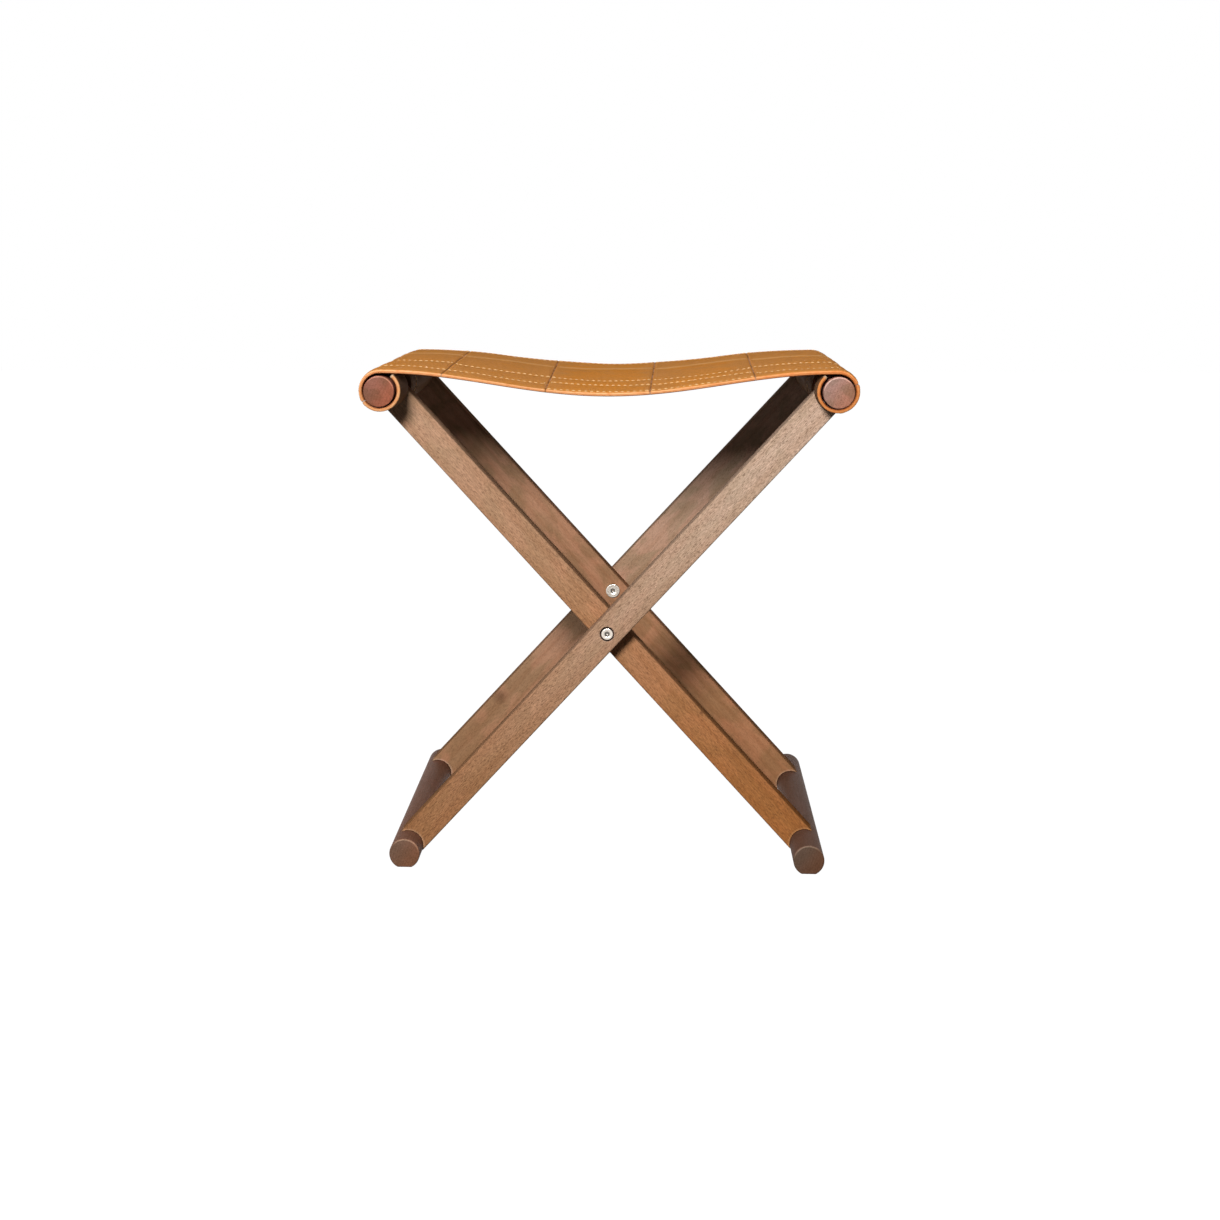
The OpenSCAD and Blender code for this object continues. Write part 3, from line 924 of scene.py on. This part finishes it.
def leatherPiece(name, start, end, material):
    stations = stationsBetween(start, end)
    grid = [columnsAt(s) for s in stations]
    rowCount, columnCount = len(stations), len(grid[0])
    slotted = {*range(columnOf(2), columnOf(3)), *range(columnOf(6), columnOf(7))}

    def present(i, j):
        if not (0 <= i < rowCount - 1 and 0 <= j < columnCount - 1):
            return False
        middle = (stations[i] + stations[i + 1]) / 2
        return slotEnds[0] <= middle <= slotEnds[1] or j not in slotted

    points, faces, chains, marks = [], [], {}, {}
    cut = []  # each point's place on the flat leather

    def add(point, s, y, edge, under, low=0.0, depth=0.0, outward=Vector()):
        values = {
            "edge": edge,
            "under": under,
            "low": low,
            "seam": bell(toSeam(s), 0.0006),
            "tone": alongPieces(pieceTones, s) - 0.34 * bell(toSeam(s), 0.017),
            # a mask for the painted highlight along the ridge
            "crest": crestHighlightAt(s, y) * (1 - under),
            # a mask for the painted shade on the tabs beyond the slots
            "tab": smooth(max(slotEnds[0] - s, s - slotEnds[1]) / 0.006 + 0.5),
            "warm": smooth((s - leftTop - loopX) / 0.26),
            "dim": smooth(max(leftTop - s, s - rightTop) / 0.04),
            "cutEnd": float(outward.length > 0.5 and not 0.0001 < s < leatherEnd - 0.0001),
        }
        for key, value in values.items():
            marks.setdefault(key, []).append(value)
        points.append(point)
        cut.append((s + depth * outward.x, y + depth * outward.y))
        return len(points) - 1

    half, rounding = seat["thickness"] / 2, seat["edgeRound"]
    level = half - rounding
    line = seat["sewnLine"] if name == "sling" else 1.0
    for i, s in enumerate(stations):
        butted = any(abs(s - seam) < 2 * seat["buttGap"] for seam in (seams[0], seams[5]))
        for j, y in enumerate(grid[i]):
            cells = {(a, b): present(i + a, j + b) for a in (-1, 0) for b in (-1, 0)}
            if not any(cells.values()):
                continue
            middle, normal = leatherPoint(s, y)
            tangent = Vector((normal.z, 0, -normal.x))
            outward = Vector()
            for near, far, sign in ((-1, 0, 1), (0, -1, -1)):
                if any(cells[a, near] and not cells[a, far] for a in (-1, 0)):
                    outward += Vector((0, sign, 0))
                if any(cells[near, b] and not cells[far, b] for b in (-1, 0)):
                    outward += tangent * sign
            lift = reliefAt(s, y)
            if outward.length < 0.5:
                sink = -0.4 * relief["seam"] * bell(toSeam(s), 0.0009)
                over = add(middle + normal * (half + lift), s, y, 0.0, 0.0)
                chains[i, j] = [over, add(middle - normal * (half + sink), s, y, 0.0, 1.0)]
                continue
            # where the sling meets a tail, the edge stays almost square
            sideways = Vector((0, outward.y, 0))
            inset = sideways * rounding + (outward - sideways) * (seat["buttRound"] if butted else rounding)
            groove = inset / rounding * seat["edgeGroove"] * (line - 1)
            chains[i, j] = []
            for side, turn, edge, under, low, depth in edgeChain:
                if turn is None:
                    spot = middle + normal * side * seat["grooveWidth"] - groove * (1 - abs(side))
                else:
                    rise, reach = cos(radians(turn)), sin(radians(turn))
                    height = level + (rounding + max(side, 0) * lift) * rise
                    spot = middle - inset * (1 - reach) + normal * side * height
                chains[i, j].append(add(spot, s, y, edge or line, under, low, depth, outward))
    for i in range(rowCount - 1):
        for j in range(columnCount - 1):
            if not present(i, j):
                continue
            corners = [chains[i, j], chains[i + 1, j], chains[i + 1, j + 1], chains[i, j + 1]]
            faces.append([c[0] for c in corners])
            faces.append([c[-1] for c in reversed(corners)])
            for k, beside in enumerate([(i, j - 1), (i + 1, j), (i, j + 1), (i - 1, j)]):
                if not present(*beside):
                    first, second = corners[k], corners[(k + 1) % 4]
                    faces += zip(first, first[1:], second[1:], second)
    made = addMesh(name, points, faces, material, marks)
    layer = made.data.uv_layers.new(name="cut")
    for loop in made.data.loops:
        layer.data[loop.index].uv = cut[loop.vertex_index]
    print(name, "has", len(stations), "stations and", columnCount, "columns")
    return made


hide = {
    "orange": rgb(252, 163, 64), "olive": rgb(239, 162, 81), "shade": rgb(200, 124, 62),
    # crest is the colour of the painted highlight along the ridge
    "crest": rgb(255, 202, 134), "seam": rgb(88, 56, 38), "seamThread": rgb(172, 136, 116),
    "tab": rgb(84, 72, 64),  # painted shade on the tails' tabs between the legs, where the seat and rails keep the light off
    "edge": rgb(255, 190, 134), "edgeShade": rgb(244, 160, 98), "edgeLine": rgb(196, 114, 62),
    # edgeDark is the colour of the painted shade on the edge's lower half
    "edgeDark": rgb(150, 72, 34),
    "loopDimming": (0.82, 0.82, 0.82, 1),  # how much darker the tails' edges are
    "warmEdge": (0.9, 0.68, 0.46, 1),  # the edge grows browner towards the right loop
    "cutEnd": rgb(205, 180, 150), "flesh": rgb(176, 122, 82), "fleshShade": rgb(140, 90, 56),
    "roughness": 0.62, "gloss": 0.008,
}


def leatherFinish(name):
    skin = Finish(name, gloss=hide["gloss"])
    place = skin.node("ShaderNodeUVMap", {"uv_map": "cut"})
    edge, under, tab = (skin.attribute(mark) for mark in ("edge", "under", "tab"))
    clouds = skin.noise(place, 26, 4, 0.3)
    mottle = skin.noise(place, 240, 4)
    pebbles = skin.node("ShaderNodeTexVoronoi", {"feature": "DISTANCE_TO_EDGE"}, {
        "Vector": place, "Scale": 1150})
    creases = skin.between(pebbles, 0.02, 0.22)
    fine = skin.noise(place, 3200, 2)
    tone = skin.between(clouds + skin.attribute("tone") - 0.5, 0.22, 0.78)
    top = skin.layered(skin.mix(tone, hide["olive"], hide["orange"]), [
        (skin.between(mottle, 0.35, 0.75) * 0.3, hide["shade"]),
        ((1 - creases) * 0.2, hide["shade"]),
        # a painted highlight on the ridge's crest
        (skin.attribute("crest") * 0.75, hide["crest"]),
    ])
    nap = skin.mix(skin.between(mottle + fine * 0.4 - 0.2, 0.3, 0.7), hide["flesh"], hide["fleshShade"])
    streaks = skin.noise(skin.vector("MULTIPLY", place, (0.25, 1, 1)), 900, 3)
    rim = skin.layered(skin.mix(skin.between(streaks, 0.4, 0.72), hide["edge"], hide["edgeShade"]), [
        (skin.between(edge, 1.1, 1.5), hide["edgeLine"]),
        # painted shade on the lower half of the rounded edge
        (skin.between(skin.attribute("low"), 0.15, 1.1) * 0.9, hide["edgeDark"]),
    ])
    tints = [(skin.attribute("dim"), hide["loopDimming"]), (skin.attribute("warm"), hide["warmEdge"])]
    rim = skin.layered(rim, tints, "MULTIPLY")
    fromMiddle = skin.maths("ABSOLUTE", skin.part(place, "Y"))
    inside = skin.between(fromMiddle, halfWidth - 0.002, halfWidth - 0.004)
    closed = skin.between(skin.noise(place, 36, 2), 0.42, 0.58)
    body = skin.layered(skin.mix(under, top, nap), [
        # painted shade on the tabs between the legs, on their faces and on their edges
        (tab * 0.85, hide["tab"]),
        (skin.between(edge, 0.4, 0.8), skin.mix(tab * inside * 0.85, rim, hide["tab"])),
        (skin.attribute("cutEnd"), hide["cutEnd"]),
        (skin.attribute("seam") * 0.72, skin.mix(closed, hide["seamThread"], hide["seam"])),
    ])
    skin.set("Base Color", body)
    skin.set("Roughness", mottle * 0.2 + under * 0.25 + (hide["roughness"] - 0.1))
    skin.set("Normal", skin.bump(fine * 0.5 + mottle, 0.00012, skin.bump(creases, 0.0001)))
    return skin.material


gap = seat["buttGap"]
leatherSkin = leatherFinish("saddleLeather")
sling = leatherPiece("sling", seams[0] + gap, seams[5] - gap, leatherSkin)
tails = {"left": leatherPiece("tail_left", 0.0, seams[0] - gap, leatherSkin)}
tails["right"] = leatherPiece("tail_right", seams[5] + gap, leatherEnd, leatherSkin)
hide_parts(*[f"seat_strip_{k}" for k in range(1, 6)])
carry(tails["left"], "inner_frame", "seat_leather", "seat_tail_left")
carry(tails["right"], "outer_frame", "seat_leather", "seat_tail_right")

# Topstitching: short bows of thread along each row, on both faces
thread = {
    "pitch": 0.0053, "length": 0.0042, "radius": 0.00062, "rise": 0.00115, "fromSeam": 0.003,
    "guideStep": 0.002,
    "sunk": 0.0005,  # how deep the stitches lie in the underside
}


def stitchGroup():
    group, tree, wires = groupWithInputs("topstitching", {
        "Pitch": "Float", "Stitch Length": "Float", "Thread Radius": "Float", "Rise": "Float",
        "Seed": "Int", "Thread": "Material"})
    path = tree.node("GeometryNodeMeshToCurve", None, {"Mesh": wires["Geometry"]})
    spots = tree.node("GeometryNodeCurveToPoints", {"mode": "LENGTH"}, {
        "Curve": path, "Length": wires["Pitch"]})
    tangent = Wire(tree, spots.socket.node.outputs["Tangent"])
    outward = tree.node("GeometryNodeInputNamedAttribute", {"data_type": "FLOAT_VECTOR"}, {"Name": "up"})
    level = tree.node("FunctionNodeAlignRotationToVector", {"axis": "X"}, {"Vector": tangent})
    turned = tree.node("FunctionNodeAlignRotationToVector", {"axis": "Z", "pivot_axis": "X"}, {
        "Rotation": level, "Vector": outward})
    half = wires["Stitch Length"] * 0.5
    dip = wires["Rise"] * -0.55
    left, right = tree.point(half * -1, 0, dip), tree.point(half, 0, dip)
    crest = tree.point(0, 0, wires["Rise"] * 1.3)
    bow = tree.node("GeometryNodeCurveQuadraticBezier", None, {
        "Resolution": 5, "Start": left, "Middle": crest, "End": right})
    ring = tree.node("GeometryNodeCurvePrimitiveCircle", None, {
        "Resolution": 6, "Radius": wires["Thread Radius"]})
    stitch = tree.node("GeometryNodeCurveToMesh", None, {
        "Curve": bow, "Profile Curve": ring, "Fill Caps": True})
    size = tree.node("FunctionNodeRandomValue", {"data_type": "FLOAT_VECTOR"}, {
        0: (0.9, 0.92, 0.9), 1: (1.08, 1.08, 1.12), "Seed": wires["Seed"]})
    placed = tree.node("GeometryNodeInstanceOnPoints", None, {
        "Points": spots, "Instance": stitch, "Rotation": turned, "Scale": size})
    closeGroup(tree, placed, wires["Thread"])
    return group


def threadFinish(name):
    skin = Finish(name)
    fuzz = skin.noise(skin.place(), 2600, 2)
    skin.set("Base Color", skin.mix(fuzz, rgb(236, 184, 116), rgb(252, 220, 164)))
    skin.set("Roughness", 0.7)
    skin.set("Normal", skin.bump(fuzz, 0.00008))
    return skin.material


def stitchGuides(zones):
    # the rows on both faces: points, edges and outward normals
    points, edges, normals = [], [], []
    bounds = [0.0, *seams, leatherEnd]
    runs = [(places, zone) for name, places in rows.items() for zone in zones if zone in sewn[name]]
    for side in (1, -1):
        for places, zone in runs:
            start, end = bounds[zone] + thread["fromSeam"], bounds[zone + 1] - thread["fromSeam"]
            steps = ceil((end - start) / thread["guideStep"])
            for k in range(steps + 1):
                s = start + (end - start) * k / steps
                y = alongPieces(places, s)
                middle, normal = leatherPoint(s, y)
                lift = seat["thickness"] / 2 + (reliefAt(s, y) if side > 0 else -thread["sunk"])
                points.append(middle + normal * side * lift)
                normals.append(normal * side)
                if k:
                    edges.append((len(points) - 2, len(points) - 1))
    return points, edges, normals


def growOn(name, points, edges, normals, group, values):
    # grows stitches or screws on points, each with its outward direction
    mesh = bpy.data.meshes.new(name)
    mesh.from_pydata([tuple(p) for p in points], edges, [])
    layer = mesh.attributes.new("up", "FLOAT_VECTOR", "POINT")
    layer.data.foreach_set("vector", [c for normal in normals for c in normal])
    made = addObject(name, mesh)
    grow(made, group, values)
    return settle(made)


def makeStitches(name, zones, group, material):
    made = growOn(name, *stitchGuides(zones), group, {
        "Pitch": thread["pitch"],
        "Stitch Length": thread["length"],
        "Thread Radius": thread["radius"],
        "Rise": thread["rise"],
        "Seed": 7,
        "Thread": material,
    })
    made.data.shade_smooth()
    print(name, "has", len(made.data.polygons), "faces")
    return made


stitchTree = stitchGroup()
linenThread = threadFinish("linenThread")
seatStitches = makeStitches("stitches_seat", range(1, 6), stitchTree, linenThread)
tailStitches = {}
for side, zone, body in (("left", 0, "inner_frame"), ("right", 6, "outer_frame")):
    tailStitches[side] = makeStitches("stitches_tail_" + side, [zone], stitchTree, linenThread)
    carry(tailStitches[side], body, "seat_leather")

# Screws: round brass heads that hold the loops from below
screws = {
    "headRadius": 0.004, "headHeight": 0.0016, "shankRadius": 0.0017, "shankEnd": 0.0115,
    "slot": 0.0009, "slotDepth": 0.0008, "sides": 28, "angle": radians(255),
    "between": 4,  # how many lie between the legs
}


def screwTemplate(material):
    # a domed head with a slot and a short shank, its dome along Z
    radius, height = screws["headRadius"], screws["headHeight"]
    shank, tip = screws["shankRadius"], screws["shankEnd"]
    rings = [(radius * sin(bend), -height * cos(bend), 0.0) for bend in quarterTurn(7)]
    rings += [(radius, 0.0002, 0.0), (shank, 0.0002, 0.0), (shank, tip - 0.0015, 0.0), (0, tip, 0.0)]
    head = loftRings("screwTemplate", rings, Vector(), 1, screws["sides"], material, "hollowShade")
    head.data.transform(Matrix.Rotation(-pi / 2, 4, "X"))
    width, deep = screws["slot"] / 2, height - screws["slotDepth"]
    levels = (deep, height + 0.001)
    corners = [(x, y, z) for x in (-0.006, 0.006) for y in (-width, width) for z in levels]
    faces = [(0, 1, 3, 2), (4, 6, 7, 5), (0, 4, 5, 1), (2, 3, 7, 6), (0, 2, 6, 4), (1, 5, 7, 3)]
    tool = addMesh("slotTool", corners, faces, material, flat=True)
    cutOut(head, tool)
    head.data.set_sharp_from_angle(angle=radians(35))
    return head


def screwGroup():
    group, tree, wires = groupWithInputs("loopScrews", {
        "Screw": "Object", "Most Turn": "Float", "Seed": "Int", "Brass": "Material"})
    outward = tree.node("GeometryNodeInputNamedAttribute", {"data_type": "FLOAT_VECTOR"}, {"Name": "up"})
    upright = tree.node("FunctionNodeAlignRotationToVector", {"axis": "Z"}, {"Vector": outward})
    info = tree.node("GeometryNodeObjectInfo", None, {"Object": wires["Screw"]}, "Geometry")
    spots = tree.node("GeometryNodeMeshToPoints", None, {"Mesh": wires["Geometry"]})
    chance = tree.node("FunctionNodeRandomValue", {"data_type": "FLOAT"}, {
        2: 0.0, 3: wires["Most Turn"], "Seed": wires["Seed"]}, 1)
    turned = tree.node("FunctionNodeRotateRotation", {"rotation_space": "LOCAL"}, {
        0: upright, 1: tree.point(0, 0, chance)})
    placed = tree.node("GeometryNodeInstanceOnPoints", None, {
        "Points": spots, "Instance": info, "Rotation": turned})
    closeGroup(tree, placed, wires["Brass"])
    return group


def makeScrews(side, body, group, template, material):
    low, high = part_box(slotLegs[side] + "front")
    inside, outside = -high.y - seat["tabGap"], -low.y + seat["tabGap"]
    outer, step = (outside + halfWidth) / 2, 2 * inside / screws["between"]
    places = [-outer, outer] + [-inside + step * (k + 0.5) for k in range(screws["between"])]
    sign = -1 if side == "left" else 1
    reach = loopRadius + seat["thickness"]
    spots, normals = zip(*[loopPoint(sign, screws["angle"], y, reach) for y in places])
    node = "seat_screws_" + side
    values = {"Screw": template, "Most Turn": 3.1, "Seed": 3, "Brass": material}
    made = growOn(node + "_heads", spots, [], normals, group, values)
    carry(made, body, "screw_brass", node)


brass = metalFinish("agedBrass", rgb(186, 146, 84), 0.38, (0, 0, 0))
template = screwTemplate(brass)
screwTree = screwGroup()
makeScrews("left", "inner_frame", screwTree, template, brass)
makeScrews("right", "outer_frame", screwTree, template, brass)
bpy.data.objects.remove(template)
print("stitches and screws are set")

for piece in (sling, seatStitches):
    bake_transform(piece)
